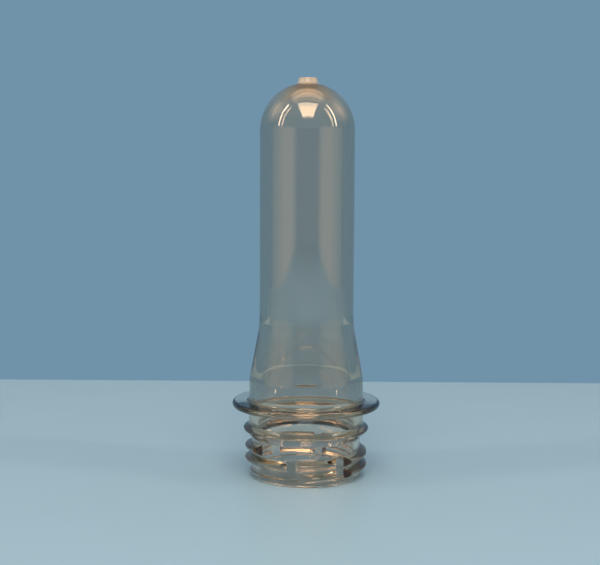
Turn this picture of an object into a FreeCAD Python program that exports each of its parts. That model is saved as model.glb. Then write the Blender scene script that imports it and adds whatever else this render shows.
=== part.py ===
import FreeCAD, Part
import math
import os

# A PET bottle preform, moulded in one piece, standing on its mouth.
# Millimetres and degrees. Z runs from the mouth plane, at zero, up to the closed end.
# Azimuth runs from the front, at -Y, towards the right, at +X.

# Neck finish: mouth, thread root, tamper band bead and support ring
bore_diameter = 21.74
lip_land_diameter = 25.0
lip_land_height = 1.4
lip_land_step = 0.3
lip_inner_rounding = 0.35
lip_outer_rounding = 0.5
thread_root_diameter = 24.2
bead_diameter = 28.0
bead_height = 10.75
bead_nose_rounding = 0.43
bead_mouth_side_angle = 43.0
bead_ring_side_angle = 33.0
bead_root_rounding = 0.4
neck_band_diameter = 25.62
ring_diameter = 33.0
ring_thickness = 1.66
ring_rim_rounding = 0.75
ring_near_root_rounding = 0.35
ring_far_root_rounding = 0.6
finish_height = 17.0

# Interrupted thread, right handed
thread_crest_diameter = 27.3
thread_pitch = 2.7
thread_front_height = 2.0
thread_crest_width = 0.9
thread_crest_flat_width = 0.4
thread_crest_bevel_depth = 0.22
thread_mouth_flank_angle = 31.0
thread_ring_flank_angle = 26.0
thread_start_azimuth = -7.0
thread_end_azimuth = 668.5
thread_lead_in_length = 3.8
thread_run_out_length = 1.6

# Vent slots through the thread
vent_azimuths = (-15.3, 38.0, 164.7, 218.0)
vent_floor_width = 2.05
vent_side_angle = 38.0

# Collar, shoulder and body outside
collar_diameter = 25.46
collar_length = 4.75
shoulder_length = 12.15
shoulder_top_rounding = 6.0
shoulder_foot_rounding = 30.0
body_diameter = 20.9
body_length = 42.85

# Core side: bore, cone under the shoulder, then parallel to the body up to its domed end
core_cone_start = 0.7
core_cone_length = 16.6
wall_thickness = 2.0

# Gate nub on the dome
gate_top_diameter = 3.9
gate_side_angle = 14.0
gate_height = 0.97
gate_foot_rounding = 0.8
gate_rim_width = 0.35
gate_dish_depth = 0.2

# Small roundings are drawn in flat steps, to keep the facets few
small_rounding_limit = 1.0
small_rounding_step_angle = 45.0

thread_root_bury = 0.3
thread_section_spacing = 20.0
cutter_clearance = 1.0

# Dependent sizes
bore_radius = bore_diameter / 2
lip_land_radius = lip_land_diameter / 2
thread_root_radius = thread_root_diameter / 2
bead_radius = bead_diameter / 2
neck_band_radius = neck_band_diameter / 2
ring_radius = ring_diameter / 2
ring_near_height = finish_height - ring_thickness
thread_crest_radius = thread_crest_diameter / 2
collar_radius = collar_diameter / 2
body_radius = body_diameter / 2
core_radius = body_radius - wall_thickness
shoulder_start_height = finish_height + collar_length
shoulder_end_height = shoulder_start_height + shoulder_length
dome_centre_height = shoulder_end_height + body_length
core_cone_start_height = finish_height + core_cone_start
core_cone_end_height = core_cone_start_height + core_cone_length
gate_top_radius = gate_top_diameter / 2
gate_top_height = dome_centre_height + body_radius + gate_height


def section_point(radius, height):
    """A point of the half section, in the XZ plane."""
    return FreeCAD.Vector(radius, 0, height)


def arc_edge(centre, radius, start, end):
    """The shorter arc about a centre, between two points on it."""
    middle = centre + ((start - centre) + (end - centre)).normalize() * radius
    return Part.Arc(start, middle, end).toShape()


def stepped_edges(centre, start, end):
    """Chords of the shorter arc about a centre, between two points on it."""
    turn = (start - centre).getAngle(end - centre)
    steps = math.ceil(math.degrees(turn) / small_rounding_step_angle - 1e-6)
    axis = (start - centre).cross(end - centre)
    points = []
    for step in range(steps + 1):
        spin = FreeCAD.Rotation(axis, math.degrees(turn) * step / steps)
        points.append(centre + spin.multVec(start - centre))
    return [Part.makeLine(first, second) for first, second in zip(points, points[1:])]


def rounded_path(corners):
    """Lines through corners of (radius, height, rounding), with tangent arcs at the rounded ones."""
    edges = []
    last = section_point(*corners[0][:2])
    for before, corner, after in zip(corners, corners[1:], corners[2:]):
        tip = section_point(*corner[:2])
        rounding = corner[2]
        if rounding == 0:
            edges.append(Part.makeLine(last, tip))
            last = tip
            continue
        back = (section_point(*before[:2]) - tip).normalize()
        ahead = (section_point(*after[:2]) - tip).normalize()
        half_angle = back.getAngle(ahead) / 2
        reach = rounding / math.tan(half_angle)
        centre = tip + (back + ahead).normalize() * (rounding / math.sin(half_angle))
        arc_start = tip + back * reach
        arc_end = tip + ahead * reach
        edges.append(Part.makeLine(last, arc_start))
        if rounding < small_rounding_limit:
            edges += stepped_edges(centre, arc_start, arc_end)
        else:
            edges.append(arc_edge(centre, rounding, arc_start, arc_end))
        last = arc_end
    edges.append(Part.makeLine(last, section_point(*corners[-1][:2])))
    return edges


def bead_corners():
    """The two roots and the sharp tip of the tamper band bead, before rounding."""
    mouth_slope = math.tan(math.radians(bead_mouth_side_angle))
    ring_slope = math.tan(math.radians(bead_ring_side_angle))
    mouth_reach = 1 / math.cos(math.radians(90 - bead_mouth_side_angle))
    ring_reach = 1 / math.cos(math.radians(90 - bead_ring_side_angle))
    # The nose arc touches both sides, so the tip lies where the two tangent lines meet
    nose_centre = bead_radius - bead_nose_rounding
    mouth_base = bead_height - bead_nose_rounding * mouth_reach * mouth_slope
    ring_base = bead_height + bead_nose_rounding * ring_reach * ring_slope
    tip_out = (ring_base - mouth_base) / (mouth_slope + ring_slope)
    tip_radius = nose_centre + tip_out
    tip_height = mouth_base + tip_out * mouth_slope
    mouth_root_height = tip_height - (tip_radius - thread_root_radius) * mouth_slope
    ring_root_height = tip_height + (tip_radius - neck_band_radius) * ring_slope
    return [
        (thread_root_radius, mouth_root_height, bead_root_rounding),
        (tip_radius, tip_height, bead_nose_rounding),
        (neck_band_radius, ring_root_height, bead_root_rounding),
    ]


def outside_corners():
    """Corners of the moulded outside, from the bore at the mouth up to the start of the dome."""
    lip = [
        (bore_radius, lip_land_height, 0),
        (bore_radius, 0, lip_inner_rounding),
        (lip_land_radius, 0, lip_outer_rounding),
        (lip_land_radius, lip_land_height, 0),
        (thread_root_radius, lip_land_height + lip_land_step, 0),
    ]
    ring = [
        (neck_band_radius, ring_near_height, ring_near_root_rounding),
        (ring_radius, ring_near_height, ring_rim_rounding),
        (ring_radius, finish_height, ring_rim_rounding),
        (collar_radius, finish_height, ring_far_root_rounding),
    ]
    body = [
        (collar_radius, shoulder_start_height, shoulder_top_rounding),
        (body_radius, shoulder_end_height, shoulder_foot_rounding),
        (body_radius, dome_centre_height, 0),
    ]
    return lip + bead_corners() + ring + body


def gate_edges():
    """Dome from its rim to the gate nub, the nub's foot, side and rim, and its dished end."""
    dome_centre = section_point(0, dome_centre_height)
    rim = section_point(gate_top_radius, gate_top_height)
    lean = math.radians(gate_side_angle)
    down_side = FreeCAD.Vector(math.sin(lean), 0, -math.cos(lean))
    outward = FreeCAD.Vector(math.cos(lean), 0, math.sin(lean))
    # The foot arc touches the nub's side and the dome from outside
    offset = rim + outward * gate_foot_rounding - dome_centre
    along = offset.dot(down_side)
    reach = body_radius + gate_foot_rounding
    travel = -along - math.sqrt(along ** 2 - offset.dot(offset) + reach ** 2)
    foot_centre = dome_centre + offset + down_side * travel
    side_foot = foot_centre - outward * gate_foot_rounding
    dome_foot = dome_centre + (foot_centre - dome_centre).normalize() * body_radius
    dome_start = section_point(body_radius, dome_centre_height)
    dish_edge_radius = gate_top_radius - gate_rim_width
    dish_radius = (dish_edge_radius ** 2 + gate_dish_depth ** 2) / (2 * gate_dish_depth)
    dish_edge = section_point(dish_edge_radius, gate_top_height)
    dish_bottom = section_point(0, gate_top_height - gate_dish_depth)
    dish_centre = section_point(0, dish_bottom.z + dish_radius)
    foot = stepped_edges(foot_centre, dome_foot, side_foot)
    return [arc_edge(dome_centre, body_radius, dome_start, dome_foot)] + foot + [
        Part.makeLine(side_foot, rim),
        Part.makeLine(rim, dish_edge),
        arc_edge(dish_centre, dish_radius, dish_edge, dish_bottom),
    ]


def core_edges():
    """Inside of the preform, from the pole of its domed end down to the mouth."""
    dome_centre = section_point(0, dome_centre_height)
    pole = section_point(0, dome_centre_height + core_radius)
    dome_start = section_point(core_radius, dome_centre_height)
    side = rounded_path([
        (core_radius, dome_centre_height, 0),
        (core_radius, core_cone_end_height, 0),
        (bore_radius, core_cone_start_height, 0),
        (bore_radius, lip_land_height, 0),
    ])
    return [arc_edge(dome_centre, core_radius, pole, dome_start)] + side


def moulded_wall():
    """The preform's wall, turned from its half section, without the thread."""
    outside = rounded_path(outside_corners()) + gate_edges()
    pole_line = Part.makeLine(
        section_point(0, gate_top_height - gate_dish_depth),
        section_point(0, dome_centre_height + core_radius),
    )
    outline = Part.Wire(outside + [pole_line] + core_edges())
    return Part.Face(outline).revolve(FreeCAD.Vector(), FreeCAD.Vector(0, 0, 1), 360)


def on_azimuth(azimuth, radius, sideways=0.0):
    """A point at a radius and azimuth, moved sideways towards growing azimuth."""
    turn = math.radians(azimuth)
    radial = FreeCAD.Vector(math.sin(turn), -math.cos(turn), 0)
    tangent = FreeCAD.Vector(math.cos(turn), math.sin(turn), 0)
    return radial * radius + tangent * sideways


def upright_prism(points, bottom, top):
    """A prism on a flat outline, from a bottom height to a top height."""
    outline = Part.makePolygon(points + [points[0]])
    prism = Part.Face(outline).extrude(FreeCAD.Vector(0, 0, top - bottom))
    prism.translate(FreeCAD.Vector(0, 0, bottom))
    return prism


def thread_height(azimuth):
    """Height of the middle of the thread's crest; the azimuth goes on growing past 360."""
    return thread_front_height + thread_pitch * azimuth / 360


def thread_section(azimuth):
    """The ridge's section at an azimuth: two flanks and a bevelled crest, on a buried root."""
    buried_radius = thread_root_radius - thread_root_bury
    bevel_radius = thread_crest_radius - thread_crest_bevel_depth
    half_crest = thread_crest_width / 2
    half_flat = thread_crest_flat_width / 2
    flank_depth = bevel_radius - buried_radius
    mouth_run = flank_depth * math.tan(math.radians(thread_mouth_flank_angle))
    ring_run = flank_depth * math.tan(math.radians(thread_ring_flank_angle))
    corners = [
        section_point(buried_radius, -half_crest - mouth_run),
        section_point(bevel_radius, -half_crest),
        section_point(thread_crest_radius, -half_flat),
        section_point(thread_crest_radius, half_flat),
        section_point(bevel_radius, half_crest),
        section_point(buried_radius, half_crest + ring_run),
    ]
    section = Part.makePolygon(corners + [corners[0]])
    # A section is drawn at +X, which is azimuth 90
    section.rotate(FreeCAD.Vector(), FreeCAD.Vector(0, 0, 1), azimuth - 90)
    section.translate(FreeCAD.Vector(0, 0, thread_height(azimuth)))
    return section


def thread_ridge():
    """The whole helical ridge, before its ends and vents are cut."""
    sweep = thread_end_azimuth - thread_start_azimuth
    steps = math.ceil(sweep / thread_section_spacing)
    azimuths = [thread_start_azimuth + sweep * step / steps for step in range(steps + 1)]
    return Part.makeLoft([thread_section(azimuth) for azimuth in azimuths], True)


def thread_end_cutter(azimuth, slope_length, side):
    """Leaves a slope from the root at an azimuth up to the crest, on the end turn alone."""
    thread_depth = thread_crest_radius - thread_root_radius
    far_out = thread_crest_radius + cutter_clearance
    buried = thread_root_radius - thread_root_bury - cutter_clearance
    slope = slope_length / thread_depth
    far_side = slope_length + 2 * cutter_clearance
    # The next turn starts half a pitch away from the middle of the sloped stretch
    slope_turn = math.degrees(slope_length / thread_crest_radius)
    next_turn = thread_height(azimuth + side * slope_turn / 2) + side * thread_pitch / 2
    outer_end = thread_height(azimuth) - side * (thread_pitch + cutter_clearance)
    return upright_prism([
        on_azimuth(azimuth, buried, side * slope * (buried - thread_root_radius)),
        on_azimuth(azimuth, far_out, side * slope * (far_out - thread_root_radius)),
        on_azimuth(azimuth, far_out, -side * far_side),
        on_azimuth(azimuth, buried, -side * far_side),
    ], min(next_turn, outer_end), max(next_turn, outer_end))


def vent_cutter(azimuth):
    """A slot through the thread, with a floor at its root and sides that lean apart."""
    half_floor = vent_floor_width / 2
    buried = thread_root_radius - thread_root_bury - cutter_clearance
    far_out = thread_crest_radius + cutter_clearance
    half_opening = half_floor + (far_out - thread_root_radius) * math.tan(math.radians(vent_side_angle))
    return upright_prism([
        on_azimuth(azimuth, buried, -half_floor),
        on_azimuth(azimuth, thread_root_radius, -half_floor),
        on_azimuth(azimuth, far_out, -half_opening),
        on_azimuth(azimuth, far_out, half_opening),
        on_azimuth(azimuth, thread_root_radius, half_floor),
        on_azimuth(azimuth, buried, half_floor),
    ], -cutter_clearance, finish_height)


def interrupted_thread():
    """The helical ridge with its sloped ends and its vent slots."""
    cutters = [vent_cutter(azimuth) for azimuth in vent_azimuths]
    cutters.append(thread_end_cutter(thread_start_azimuth, thread_lead_in_length, 1))
    cutters.append(thread_end_cutter(thread_end_azimuth, thread_run_out_length, -1))
    return thread_ridge().cut(Part.Compound(cutters))


def preform():
    """The moulded piece as one solid."""
    return moulded_wall().fuse(interrupted_thread()).Solids[0]


os.makedirs("parts", exist_ok=True)
shape = preform()
shape.exportStep("parts/preform.step")
box = shape.BoundBox
print("preform valid", shape.isValid(), "faces", len(shape.Faces), "volume mm3", round(shape.Volume, 1))
print("box", round(box.XLength, 2), round(box.YLength, 2), round(box.ZLength, 2))
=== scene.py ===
import math

import bpy
import numpy as np
from mathutils import Matrix, Vector


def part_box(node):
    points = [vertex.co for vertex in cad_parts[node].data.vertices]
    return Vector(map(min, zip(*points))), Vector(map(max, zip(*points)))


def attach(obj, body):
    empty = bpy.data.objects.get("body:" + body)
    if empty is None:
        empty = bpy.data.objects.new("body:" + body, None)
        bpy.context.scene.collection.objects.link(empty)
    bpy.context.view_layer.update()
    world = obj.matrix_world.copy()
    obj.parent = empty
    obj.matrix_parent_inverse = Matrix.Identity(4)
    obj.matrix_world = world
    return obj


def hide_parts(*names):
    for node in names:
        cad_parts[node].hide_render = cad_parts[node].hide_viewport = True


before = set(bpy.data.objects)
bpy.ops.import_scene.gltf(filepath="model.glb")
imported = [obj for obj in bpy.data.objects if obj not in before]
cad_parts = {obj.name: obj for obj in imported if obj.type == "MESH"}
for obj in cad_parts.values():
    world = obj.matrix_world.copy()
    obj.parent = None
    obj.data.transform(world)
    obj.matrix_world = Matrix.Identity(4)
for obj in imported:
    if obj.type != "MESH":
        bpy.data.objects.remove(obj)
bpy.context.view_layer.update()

# The preform, in millimetres and degrees. Height runs from the mouth plane up to the closed end.
# Azimuth runs from the front, at -Y, towards the right, at +X.
low_corner, high_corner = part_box("preform")
ring_radius = 1000 * (high_corner.x - low_corner.x) / 2
total_height = 1000 * high_corner.z

bore_radius = 10.87
lip_land_radius = 12.5
lip_land_height = 1.4
lip_land_step = 0.3
lip_inner_rounding = 0.35
lip_outer_rounding = 0.5
root_radius = 12.1
bead_radius = 14.0
bead_height = 10.75
bead_nose_rounding = 0.43
bead_mouth_side_angle = 43.0
bead_ring_side_angle = 33.0
neck_band_radius = 12.81
ring_near_height = 15.34
ring_near_slope = 3.5  # towards the rim
ring_rim_rounding = 0.68
finish_height = 17.0
collar_radius = 12.73
shoulder_start = 21.75
shoulder_end = 33.9
body_radius = 10.45
core_radius = 8.45
core_cone_start = 17.7
core_cone_end = 34.3
gate_height = 0.97
gate_top_radius = 1.95
gate_side_angle = 14.0
gate_foot_rounding = 0.8
gate_rim_width = 0.35
gate_dish_depth = 0.2
dome_centre = total_height - gate_height - body_radius

crest_radius = 13.65
thread_pitch = 2.7
thread_front_height = 2.0
crest_half_width = 0.45
crest_half_flat = 0.2
crest_bevel_depth = 0.22
mouth_flank_angle = 31.0
ring_flank_angle = 26.0
thread_start = -7.0
thread_end = 668.5
lead_in_length = 3.8
run_out_length = 1.6
vent_azimuths = (-15.3, 38.0, 164.7, 218.0)
vent_half_floor = 1.025
vent_side_angle = 38.0
edge_softness = 0.07
thread_zone_low = 0.5
thread_zone_high = 8.55
row_step = 0.085

# The small ring moulded on the thread root
mark_azimuth = 9.4
mark_height = 7.4
mark_radius = 1.1
mark_half_line = 0.11
mark_relief = 0.09


def tangent_rounding(before, corner, after, rounding, steps):
    """Points and normals of the arc that rounds a corner. The profile has its outside on the right."""
    tip = np.array(corner, float)
    back = np.array(before, float) - tip
    ahead = np.array(after, float) - tip
    back /= np.linalg.norm(back)
    ahead /= np.linalg.norm(ahead)
    half = math.acos(max(-1.0, min(1.0, float(back @ ahead)))) / 2
    bisector = back + ahead
    bisector /= np.linalg.norm(bisector)
    centre = tip + bisector * rounding / math.sin(half)
    reach = rounding / math.tan(half)
    start = tip + back * reach - centre
    end = tip + ahead * reach - centre
    # Positive where the profile turns left, so that its outside is the round side
    side = 1.0 if (-back[0]) * ahead[1] - (-back[1]) * ahead[0] > 0 else -1.0
    first = math.atan2(start[1], start[0])
    turn = math.atan2(start[0] * end[1] - start[1] * end[0], float(start @ end))
    rows = []
    for step in range(steps + 1):
        angle = first + turn * step / steps
        out = np.array([math.cos(angle), math.sin(angle)])
        rows.append((*(centre + out * rounding), *(out * side)))
    return rows


def profile_rows(corners):
    """Rows of (radius, height, normal) from corners of (radius, height, rounding, arc steps, run rows)."""
    rows = []
    for index, corner in enumerate(corners):
        spot, rounding, steps, run = corner[:2], corner[2], corner[3], corner[4]
        if rounding == 0:
            other = corners[index + 1][:2] if index == 0 else corners[index - 1][:2]
            along = np.array(other, float) - np.array(spot, float)
            along *= (1 if index == 0 else -1) / np.linalg.norm(along)
            rows.append((*spot, along[1], -along[0]))
        else:
            rows += tangent_rounding(corners[index - 1][:2], spot, corners[index + 1][:2], rounding, steps)
        if run:
            following = corners[index + 1]
            if following[2]:
                start = tangent_rounding(spot, following[:2], corners[index + 2][:2], following[2], 1)[0]
            else:
                start = following[:2]
            last = rows[-1]
            for part in range(1, run + 1):
                share = part / (run + 1)
                rows.append((
                    last[0] + (start[0] - last[0]) * share,
                    last[1] + (start[1] - last[1]) * share,
                    last[2],
                    last[3],
                ))
    return rows


def bead_points():
    """Mouth-side root, sharp tip and ring-side root of the bead."""
    mouth_slope = math.tan(math.radians(bead_mouth_side_angle))
    ring_slope = math.tan(math.radians(bead_ring_side_angle))
    nose_centre = bead_radius - bead_nose_rounding
    mouth_sine = math.sin(math.radians(bead_mouth_side_angle))
    ring_sine = math.sin(math.radians(bead_ring_side_angle))
    mouth_base = bead_height - bead_nose_rounding * mouth_slope / mouth_sine
    ring_base = bead_height + bead_nose_rounding * ring_slope / ring_sine
    tip_out = (ring_base - mouth_base) / (mouth_slope + ring_slope)
    tip = (nose_centre + tip_out, mouth_base + tip_out * mouth_slope)
    mouth_root = (root_radius, tip[1] - (tip[0] - root_radius) * mouth_slope)
    ring_root = (neck_band_radius, tip[1] + (tip[0] - neck_band_radius) * ring_slope)
    return mouth_root, tip, ring_root


def smooth_least(values, softness):
    """Smallest of several arrays, rounded where two of them meet."""
    least = values[0]
    for value in values[1:]:
        gap = np.clip(0.5 + 0.5 * (value - least) / softness, 0, 1)
        least = value * (1 - gap) + least * gap - softness * gap * (1 - gap)
    return least


def limit_plane(distance, offset, lean):
    """Radius of a flat side that leans out from the root, at a distance in degrees from its foot."""
    turn = np.radians(np.clip(distance, -60.0, 60.0))
    fall = np.cos(turn) - np.sin(turn) / lean
    near = (fall > 0.05) & (distance < 60.0)
    return np.where(near, (root_radius - offset / lean) / np.where(near, fall, 1.0), 99.0)


def thread_radius(azimuth, height):
    """Radius of the interrupted thread over a grid of azimuth, in degrees, and height."""
    depth = crest_radius - root_radius
    bevel_slope = crest_bevel_depth / (crest_half_width - crest_half_flat)
    bevel_radius = crest_radius - crest_bevel_depth
    mouth_rise = 1 / math.tan(math.radians(mouth_flank_angle))
    ring_rise = 1 / math.tan(math.radians(ring_flank_angle))
    best = np.full(np.broadcast(azimuth, height).shape, 0.0)
    for turn in range(-1, 3):
        along = azimuth + 360.0 * turn
        off = height - thread_front_height - thread_pitch * along / 360.0
        ridge = smooth_least([
            np.full(off.shape, crest_radius),
            crest_radius - bevel_slope * (np.abs(off) - crest_half_flat),
            bevel_radius + mouth_rise * (off + crest_half_width),
            bevel_radius - ring_rise * (off - crest_half_width),
            limit_plane(along - thread_start, 0.0, lead_in_length / depth),
            limit_plane(thread_end - along, 0.0, run_out_length / depth),
        ], edge_softness)
        inside = (along > thread_start - 40) & (along < thread_end + 40)
        best = np.maximum(best, np.where(inside, ridge, 0.0))
    lean = math.tan(math.radians(vent_side_angle))
    for vent in vent_azimuths:
        distance = np.abs((azimuth - vent + 180.0) % 360.0 - 180.0)
        wall = limit_plane(distance, vent_half_floor, lean)
        best = smooth_least([best, np.broadcast_to(wall, best.shape)], edge_softness)
    return best


def mark_height_field(azimuth, height):
    """Relief of the small moulded ring."""
    sideways = np.radians((azimuth - mark_azimuth + 180.0) % 360.0 - 180.0) * root_radius
    away = np.abs(np.hypot(sideways, height - mark_height) - mark_radius)
    share = np.clip(1.5 - away / mark_half_line, 0, 1)
    return mark_relief * share ** 2 * (3 - 2 * share)


def neck_radius(azimuth, height, plain_heights, plain_radii):
    """Outside radius in the thread zone."""
    plain = np.interp(height, plain_heights, plain_radii)
    plain = np.broadcast_to(plain, np.broadcast(azimuth, height).shape) + mark_height_field(azimuth, height)
    thread = thread_radius(azimuth, height)
    return -smooth_least([-plain, -thread], edge_softness)


def column_azimuths():
    """Azimuths of the mesh columns, closer together round the vents, the thread's ends and the mark."""
    fine = [(vent - 11.0, vent + 11.0, 0.55) for vent in vent_azimuths]
    fine.append((thread_start, thread_start + 17.0, 0.7))
    fine.append((thread_end - 360.0 - 8.0, thread_end - 360.0 + 1.0, 0.5))
    fine.append((mark_azimuth - 6.0, mark_azimuth + 6.0, 0.4))
    azimuths = [-180.0]
    while True:
        here = azimuths[-1]
        step = 1.75
        for start, end, spacing in fine:
            for shift in (0.0, -360.0):
                if start + shift <= here < end + shift:
                    step = min(step, spacing)
                elif here < start + shift < here + step:
                    step = start + shift - here
        if here + step > 180.0 - 0.2:
            return np.array(azimuths)
        azimuths.append(here + step)


def body_rows():
    """Rows of the whole outside and inside, from the bore's edge at the lip round to the bore again."""
    mouth_root, tip, ring_root = bead_points()
    lip = profile_rows([
        (bore_radius, lip_land_height, 0, 0, 0),
        (bore_radius, 0, lip_inner_rounding, 6, 1),
        (lip_land_radius, 0, lip_outer_rounding, 6, 0),
        (lip_land_radius, lip_land_height, 0, 0, 0),
    ])[:-1]
    land = profile_rows([
        (lip_land_radius, thread_zone_low, 0, 0, 0),
        (lip_land_radius, lip_land_height, 0.15, 4, 0),
        (root_radius, lip_land_height + lip_land_step, 0.15, 4, 0),
        (root_radius, thread_zone_high, 0, 0, 0),
    ])
    ring_rise = (ring_radius - neck_band_radius) * math.tan(math.radians(ring_near_slope))
    upper = profile_rows([
        (root_radius, thread_zone_high - 0.5, 0, 0, 0),
        (*mouth_root, 0.4, 4, 1),
        (*tip, bead_nose_rounding, 8, 1),
        (*ring_root, 0.4, 4, 1),
        (neck_band_radius, ring_near_height, 0.35, 5, 1),
        (ring_radius, ring_near_height + ring_rise, ring_rim_rounding, 8, 0),
        (ring_radius, finish_height, ring_rim_rounding, 8, 1),
        (collar_radius, finish_height, 0.6, 6, 1),
        (collar_radius, shoulder_start, 6.0, 5, 2),
        (body_radius, shoulder_end, 30.0, 8, 4),
        (body_radius, dome_centre, 0, 0, 0),
    ])[1:-1]
    # Dome from its rim to the gate's foot
    rim = np.array([gate_top_radius, total_height])
    lean = math.radians(gate_side_angle)
    down = np.array([math.sin(lean), -math.cos(lean)])
    outward = np.array([math.cos(lean), math.sin(lean)])
    centre = np.array([0.0, dome_centre])
    offset = rim + outward * gate_foot_rounding - centre
    along = float(offset @ down)
    reach = body_radius + gate_foot_rounding
    travel = -along - math.sqrt(along ** 2 - float(offset @ offset) + reach ** 2)
    foot = centre + offset + down * travel
    foot_angle = math.atan2(*(foot - centre)[::-1])
    dome = []
    for step in range(25):
        angle = foot_angle * step / 24
        out = math.cos(angle)
        up = math.sin(angle)
        dome.append((body_radius * out, dome_centre + body_radius * up, out, up))
    side_angle = math.atan2(-outward[1], -outward[0])
    start_angle = math.atan2(*(centre - foot)[::-1])
    turn = (side_angle - start_angle + math.pi) % (2 * math.pi) - math.pi
    for step in range(1, 7):
        angle = start_angle + turn * step / 6
        spot = foot + gate_foot_rounding * np.array([math.cos(angle), math.sin(angle)])
        dome.append((*spot, -math.cos(angle), -math.sin(angle)))
    side_foot = foot - outward * gate_foot_rounding
    dish_edge = gate_top_radius - gate_rim_width
    gate = profile_rows([
        (*side_foot, 0, 0, 1),
        (*rim, 0.09, 4, 0),
        (dish_edge, total_height, 0.08, 3, 0),
        (dish_edge * 0.5, total_height - gate_dish_depth * 0.75, 0.9, 4, 0),
        (0.0, total_height - gate_dish_depth, 0, 0, 0),
    ])[1:]
    inner = []
    for step in range(1, 19):
        angle = math.pi / 2 * (1 - step / 18)
        out = math.cos(angle)
        up = math.sin(angle)
        inner.append((core_radius * out, dome_centre + core_radius * up, -out, -up))
    bore = profile_rows([
        (core_radius, dome_centre, 0, 0, 3),
        (core_radius, core_cone_end, 0.4, 3, 2),
        (bore_radius, core_cone_start, 1.5, 3, 2),
        (bore_radius, lip_land_height, 0, 0, 0),
    ])[1:]
    return lip, land, upper, dome + gate, inner + bore


def build_mesh():
    """The closed skin of the preform, with the normals of its true surface."""
    azimuths = column_azimuths()
    columns = len(azimuths)
    lip, land, upper, end, core = body_rows()
    radians = np.radians(azimuths)
    radial = np.stack([np.sin(radians), -np.cos(radians), np.zeros(columns)], 1)
    tangent = np.stack([np.cos(radians), np.sin(radians), np.zeros(columns)], 1)
    points, normals = [], []

    def add_plain(rows):
        for radius, height, out, up in rows:
            row = radial * radius
            row[:, 2] = height
            points.append(row)
            facing = radial * out
            facing[:, 2] = up
            normals.append(facing)

    add_plain(lip)
    land_heights = [row[1] for row in land]
    land_radii = [row[0] for row in land]
    count = round((thread_zone_high - thread_zone_low) / row_step)
    delta = 0.02
    for row_index in range(1, count + 1):
        height = thread_zone_low + (thread_zone_high - thread_zone_low) * row_index / count
        here = neck_radius(azimuths, np.array(height), land_heights, land_radii)
        above = neck_radius(azimuths, np.array(height + delta), land_heights, land_radii)
        below = neck_radius(azimuths, np.array(height - delta), land_heights, land_radii)
        side_turn = math.degrees(delta / root_radius)
        after = neck_radius(azimuths + side_turn, np.array(height), land_heights, land_radii)
        before = neck_radius(azimuths - side_turn, np.array(height), land_heights, land_radii)
        row = radial * here[:, None]
        row[:, 2] = height
        points.append(row)
        rise = (above - below) / (2 * delta)
        swing = (after - before) / (2 * delta) * root_radius / here
        facing = radial - tangent * swing[:, None]
        facing[:, 2] = -rise
        normals.append(facing)
    add_plain(upper)
    add_plain(end[:-1])
    pole_row = len(points)
    add_plain(core)

    def strip(first, second):
        near = first * columns
        far = second * columns
        quads = []
        for c in range(columns):
            following = (c + 1) % columns
            quads.append((near + c, near + following, far + following, far + c))
        return quads

    faces = []
    for row_index in range(len(points) - 1):
        if row_index != pole_row - 1:
            faces += strip(row_index, row_index + 1)
    faces += strip(len(points) - 1, 0)
    flat_points = np.concatenate(points)
    flat_normals = np.concatenate(normals)
    outer_pole = len(flat_points)
    inner_pole = outer_pole + 1
    flat_points = np.vstack([
        flat_points,
        [0, 0, total_height - gate_dish_depth],
        [0, 0, dome_centre + core_radius],
    ])
    flat_normals = np.vstack([flat_normals, [0, 0, 1], [0, 0, -1]])
    last_outer = (pole_row - 1) * columns
    first_inner = pole_row * columns
    for c in range(columns):
        following = (c + 1) % columns
        faces.append((last_outer + c, last_outer + following, outer_pole))
        faces.append((inner_pole, first_inner + following, first_inner + c))
    flat_normals /= np.linalg.norm(flat_normals, axis=1)[:, None]
    mesh = bpy.data.meshes.new("preform_skin")
    mesh.from_pydata((flat_points / 1000).tolist(), [], faces)
    mesh.validate()
    mesh.update()
    mesh.polygons.foreach_set("use_smooth", [True] * len(mesh.polygons))
    mesh.normals_split_custom_set_from_vertices(flat_normals.tolist())
    return mesh


class Nodes:
    """Short ways to build a node tree."""

    def __init__(self, tree):
        self.tree = tree
        tree.nodes.clear()

    def add(self, kind, **settings):
        node = self.tree.nodes.new(kind)
        for name, value in settings.items():
            setattr(node, name, value)
        return node

    def join(self, source, target):
        self.tree.links.new(source, target)

    def feed(self, socket, value):
        if isinstance(value, bpy.types.NodeSocket):
            self.join(value, socket)
        else:
            socket.default_value = value

    def math(self, operation, *values):
        node = self.add("ShaderNodeMath", operation=operation)
        for socket, value in zip(node.inputs, values):
            self.feed(socket, value)
        return node.outputs[0]

    def ramp(self, value, low, high, start=0.0, end=1.0):
        node = self.add("ShaderNodeMapRange", interpolation_type="SMOOTHSTEP")
        for socket, item in zip(node.inputs, (value, low, high, start, end)):
            self.feed(socket, item)
        return node.outputs[0]

    def band(self, value, low, high, soft):
        up = self.ramp(value, low - soft, low + soft)
        down = self.ramp(value, high - soft, high + soft, 1.0, 0.0)
        return self.math("MULTIPLY", up, down)

    def mix(self, share, first, second):
        node = self.add("ShaderNodeMix", data_type="RGBA")
        self.feed(node.inputs["Factor"], share)
        self.feed([s for s in node.inputs if s.name == "A" and s.type == "RGBA"][0], first)
        self.feed([s for s in node.inputs if s.name == "B" and s.type == "RGBA"][0], second)
        return [s for s in node.outputs if s.type == "RGBA"][0]


def seen_in_gloss(nodes):
    """One where gloss or glass looks at the surroundings, and zero for light that falls on matt surfaces."""
    path = nodes.add("ShaderNodeLightPath")
    gloss = nodes.math("MAXIMUM", path.outputs["Is Glossy Ray"], path.outputs["Is Transmission Ray"])
    return nodes.math("MULTIPLY", gloss, nodes.math("LESS_THAN", path.outputs["Diffuse Depth"], 0.5))


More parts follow.
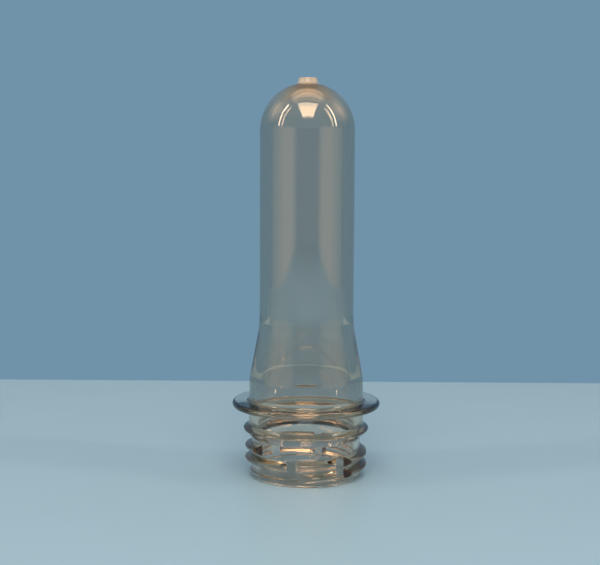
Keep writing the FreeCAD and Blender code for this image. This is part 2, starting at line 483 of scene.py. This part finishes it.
def clear_pet():
    """Clear moulded PET: faint flow lines, a milky tint round the gate, small scuffs."""
    material = bpy.data.materials.new("clear_pet")
    material.use_nodes = True
    nodes = Nodes(material.node_tree)
    place = nodes.add("ShaderNodeTexCoord").outputs["Object"]
    parts = nodes.add("ShaderNodeSeparateXYZ")
    nodes.join(place, parts.inputs[0])
    gate_tint = nodes.ramp(parts.outputs["Z"], 0.0838, 0.0866)
    mottle = nodes.add("ShaderNodeTexNoise")
    mottle.inputs["Scale"].default_value = 900.0
    mottle.inputs["Detail"].default_value = 3.0
    nodes.join(place, mottle.inputs["Vector"])
    gate_share = nodes.math("MULTIPLY", gate_tint, nodes.ramp(mottle.outputs["Fac"], 0.25, 0.6, 0.45, 1.0))
    dome_haze = nodes.math("MULTIPLY", nodes.ramp(parts.outputs["Z"], 0.0765, 0.0868), 0.10)
    clear = (0.985, 0.985, 0.98, 1)
    warm = (0.90, 0.70, 0.52, 1)
    stretch = nodes.add("ShaderNodeMapping")
    stretch.inputs["Scale"].default_value = (260, 260, 9)
    nodes.join(place, stretch.inputs["Vector"])
    flow = nodes.add("ShaderNodeTexNoise")
    flow.inputs["Scale"].default_value = 1.0
    flow.inputs["Detail"].default_value = 2.0
    nodes.join(stretch.outputs[0], flow.inputs["Vector"])
    scuff = nodes.add("ShaderNodeTexNoise")
    scuff.inputs["Scale"].default_value = 420.0
    scuff.inputs["Detail"].default_value = 5.0
    nodes.join(place, scuff.inputs["Vector"])
    shader = nodes.add("ShaderNodeBsdfPrincipled")
    frosted = nodes.ramp(parts.outputs["Z"], 0.0864, 0.0873)
    haze = nodes.math("ADD", dome_haze, nodes.math("MULTIPLY", frosted, 0.6))
    nodes.join(nodes.math("SUBTRACT", 1.0, haze), shader.inputs["Transmission Weight"])
    shader.inputs["IOR"].default_value = 1.575
    nodes.join(nodes.mix(gate_share, clear, warm), shader.inputs["Base Color"])
    rough = nodes.ramp(scuff.outputs["Fac"], 0.55, 0.75, 0.012, 0.05)
    nodes.join(nodes.math("ADD", rough, nodes.math("MULTIPLY", frosted, 0.3)), shader.inputs["Roughness"])
    bump = nodes.add("ShaderNodeBump")
    bump.inputs["Strength"].default_value = 0.06
    bump.inputs["Distance"].default_value = 0.0004
    nodes.join(flow.outputs["Fac"], bump.inputs["Height"])
    nodes.join(bump.outputs[0], shader.inputs["Normal"])
    depth = nodes.add("ShaderNodeVolumeAbsorption")
    depth.inputs["Color"].default_value = (0.54, 0.31, 0.0, 1)
    depth.inputs["Density"].default_value = 130.0
    output = nodes.add("ShaderNodeOutputMaterial")
    nodes.join(shader.outputs[0], output.inputs["Surface"])
    nodes.join(depth.outputs[0], output.inputs["Volume"])
    return material


def table_paint_and_reflected_shade():
    """Plain pale paint. Towards the front edge, where only gloss sees it, it carries a painted dark
    reflection of the room.
    """
    material = bpy.data.materials.new("table_paint_and_reflected_shade")
    material.use_nodes = True
    nodes = Nodes(material.node_tree)
    place = nodes.add("ShaderNodeTexCoord").outputs["Object"]
    parts = nodes.add("ShaderNodeSeparateXYZ")
    nodes.join(place, parts.inputs[0])
    speck = nodes.add("ShaderNodeTexNoise")
    speck.inputs["Scale"].default_value = 60.0
    speck.inputs["Detail"].default_value = 4.0
    nodes.join(place, speck.inputs["Vector"])
    darker = tuple(0.96 * c for c in table_colour[:3]) + (1,)
    plain = nodes.mix(speck.outputs["Fac"], darker, table_colour)
    # Painted reflection: far towards the front, gloss and glass see the table as dark brown, which stands in
    # for the dim room in front of the object
    away = nodes.ramp(nodes.math("MULTIPLY", parts.outputs["Y"], -1.0), 0.30, 0.74)
    reflected_room_shade = nodes.math("MULTIPLY", away, seen_in_gloss(nodes))
    shader = nodes.add("ShaderNodeBsdfPrincipled")
    nodes.join(nodes.mix(reflected_room_shade, plain, (0.16, 0.14, 0.11, 1)), shader.inputs["Base Color"])
    shader.inputs["Roughness"].default_value = 0.4
    output = nodes.add("ShaderNodeOutputMaterial")
    nodes.join(shader.outputs[0], output.inputs["Surface"])
    return material


def studio_world():
    """A pale backdrop all round, and for gloss and glass the room in front of the object too."""
    world = bpy.data.worlds.new("studio")
    bpy.context.scene.world = world
    world.use_nodes = True
    nodes = Nodes(world.node_tree)
    parts = nodes.add("ShaderNodeSeparateXYZ")
    nodes.join(nodes.add("ShaderNodeTexCoord").outputs["Generated"], parts.inputs[0])
    front = nodes.math("MULTIPLY", parts.outputs["Y"], -1.0)
    azimuth = nodes.math("ABSOLUTE", nodes.math("DEGREES", nodes.math("ARCTAN2", parts.outputs["X"], front)))
    elevation = nodes.math("DEGREES", nodes.math("ARCSINE", parts.outputs["Z"]))
    backdrop = backdrop_colour
    room = (0.30, 0.23, 0.16, 1)
    card = (0.86, 0.72, 0.53, 1)
    ceiling = (0.42, 0.34, 0.26, 1)
    skylight = (2.4, 1.7, 1.05, 1)
    side_glow = (1.25, 0.98, 0.72, 1)
    card_turn = nodes.band(azimuth, 34.0, 90.0, 4.0)
    card_rise = nodes.band(elevation, -30.0, 8.0, 5.0)
    cards = nodes.math("MULTIPLY", card_turn, card_rise)
    near = nodes.mix(cards, room, card)
    around_head = nodes.mix(nodes.ramp(azimuth, 88.0, 102.0), near, backdrop)
    glow_turn = nodes.band(azimuth, 84.0, 128.0, 12.0)
    glow_rise = nodes.band(elevation, 22.0, 60.0, 14.0)
    glow = nodes.math("MULTIPLY", glow_turn, glow_rise)
    lit = nodes.mix(glow, around_head, side_glow)
    high_rise = nodes.ramp(elevation, 34.0, 50.0)
    high_back = nodes.ramp(parts.outputs["Y"], -0.10, 0.0)
    high = nodes.math("MULTIPLY", high_rise, high_back)
    below_skylight = nodes.mix(high, lit, ceiling)
    overhead_rise = nodes.ramp(elevation, 60.0, 66.0)
    overhead_back = nodes.ramp(parts.outputs["Y"], -0.12, -0.04)
    overhead = nodes.math("MULTIPLY", overhead_rise, overhead_back)
    seen = nodes.mix(overhead, below_skylight, skylight)
    gloss = seen_in_gloss(nodes)
    path = nodes.add("ShaderNodeLightPath")
    ambient = nodes.add("ShaderNodeBackground")
    ambient.inputs["Color"].default_value = (0.80, 0.90, 1.0, 1)
    ambient.inputs["Strength"].default_value = ambient_strength
    around = nodes.add("ShaderNodeBackground")
    nodes.join(seen, around.inputs["Color"])
    wall = nodes.add("ShaderNodeBackground")
    wall.inputs["Color"].default_value = backdrop
    by_gloss = nodes.add("ShaderNodeMixShader")
    nodes.join(gloss, by_gloss.inputs[0])
    nodes.join(ambient.outputs[0], by_gloss.inputs[1])
    nodes.join(around.outputs[0], by_gloss.inputs[2])
    by_camera = nodes.add("ShaderNodeMixShader")
    nodes.join(path.outputs["Is Camera Ray"], by_camera.inputs[0])
    nodes.join(by_gloss.outputs[0], by_camera.inputs[1])
    nodes.join(wall.outputs[0], by_camera.inputs[2])
    output = nodes.add("ShaderNodeOutputWorld")
    nodes.join(by_camera.outputs[0], output.inputs["Surface"])


def soft_lamp(name, place, target, width, height, power, gloss_glow):
    """A plain soft lamp, and behind it a panel of the same size that only gloss and glass see."""
    light = bpy.data.lights.new(name, "AREA")
    light.shape = "RECTANGLE"
    light.size = width
    light.size_y = height
    light.energy = power
    light.color = warm_white
    lamp = bpy.data.objects.new(name, light)
    bpy.context.scene.collection.objects.link(lamp)
    lamp.location = place
    lamp.rotation_euler = (Vector(place) - Vector(target)).to_track_quat("Z", "Y").to_euler()
    panel_mesh = bpy.data.meshes.new(name + "_panel")
    across, along = width / 2, height / 2
    panel_mesh.from_pydata(
        [(-across, -along, 0.004), (across, -along, 0.004), (across, along, 0.004), (-across, along, 0.004)],
        [],
        [(0, 1, 2, 3)],
    )
    panel = bpy.data.objects.new(name + "_panel", panel_mesh)
    bpy.context.scene.collection.objects.link(panel)
    panel.location = lamp.location
    panel.rotation_euler = lamp.rotation_euler
    panel.visible_camera = False
    panel.visible_diffuse = False
    panel.visible_shadow = False
    material = bpy.data.materials.new(name + "_glow")
    material.use_nodes = True
    nodes = Nodes(material.node_tree)
    glow = nodes.add("ShaderNodeEmission")
    glow.inputs["Color"].default_value = gloss_glow
    nodes.join(seen_in_gloss(nodes), glow.inputs["Strength"])
    output = nodes.add("ShaderNodeOutputMaterial")
    nodes.join(glow.outputs[0], output.inputs["Surface"])
    panel_mesh.materials.append(material)


def glass_bounces():
    """Enough bounces for light to find its way out of the thick clear wall."""
    cycles = bpy.context.scene.cycles
    cycles.max_bounces = 32
    cycles.glossy_bounces = 32
    cycles.transmission_bounces = 32


# Stage and light, in metres
backdrop_colour = (0.165, 0.290, 0.400, 1)
table_colour = (0.42, 0.62, 0.76, 1)
table_back_edge = 0.115
table_front_edge = -0.8
table_half_width = 0.42
table_height = -0.00002
table_bevel_edge = table_back_edge + 0.0012
table_bevel_height = -0.0008
table_underside = -0.02
ambient_strength = 0.40

warm_white = (1.0, 0.86, 0.68)
studio_world()
glass_bounces()

table = bpy.data.meshes.new("table")
table.from_pydata([
    (-table_half_width, table_front_edge, table_height),
    (table_half_width, table_front_edge, table_height),
    (table_half_width, table_back_edge, table_height),
    (-table_half_width, table_back_edge, table_height),
    (table_half_width, table_bevel_edge, table_bevel_height),
    (-table_half_width, table_bevel_edge, table_bevel_height),
    (table_half_width, table_bevel_edge, table_underside),
    (-table_half_width, table_bevel_edge, table_underside),
], [], [(0, 1, 2, 3), (3, 2, 4, 5), (5, 4, 6, 7)])
table_top = bpy.data.objects.new("table", table)
table.materials.append(table_paint_and_reflected_shade())
bpy.context.scene.collection.objects.link(table_top)

preform = bpy.data.objects.new("preform_skin", build_mesh())
preform.data.materials.append(clear_pet())
bpy.context.scene.collection.objects.link(preform)
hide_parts("preform")
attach(preform, "root")

lamp_height = 0.55
dome_top = total_height / 1000
soft_lamp(
    "overhead",
    (0, -1.02 * lamp_height, lamp_height + dome_top),
    (0, -1.02 * lamp_height, 0),
    0.82 * lamp_height,
    1.22 * lamp_height,
    4.5,
    (5.6, 3.2, 1.3, 1),
)
strip_reach = 0.6
for side in (-1, 1):
    turn = math.radians(73 * side)
    soft_lamp(
        "strip_left" if side < 0 else "strip_right",
        (strip_reach * math.sin(turn), -strip_reach * math.cos(turn), 0.43),
        (0, 0, 0.07),
        0.05,
        0.56,
        0.8,
        (9.0, 5.8, 3.4, 1),
    )

# Camera, in front of the preform and a little above its middle
camera = bpy.data.cameras.new("camera")
camera.sensor_width = 36.0
camera.lens = 70.56
camera.clip_start = 0.01
camera_object = bpy.data.objects.new("camera", camera)
bpy.context.scene.collection.objects.link(camera_object)
bpy.context.scene.camera = camera_object
camera_pitch = 5.55
camera_yaw = 0.33
camera_roll = 0.31
camera_object.matrix_world = (
    Matrix.Translation((0, -0.260, 0.0685))
    @ Matrix.Rotation(math.radians(camera_yaw), 4, "Z")
    @ Matrix.Rotation(math.radians(90 - camera_pitch), 4, "X")
    @ Matrix.Rotation(math.radians(camera_roll), 4, "Z")
)

bpy.context.scene.view_settings.view_transform = "Standard"
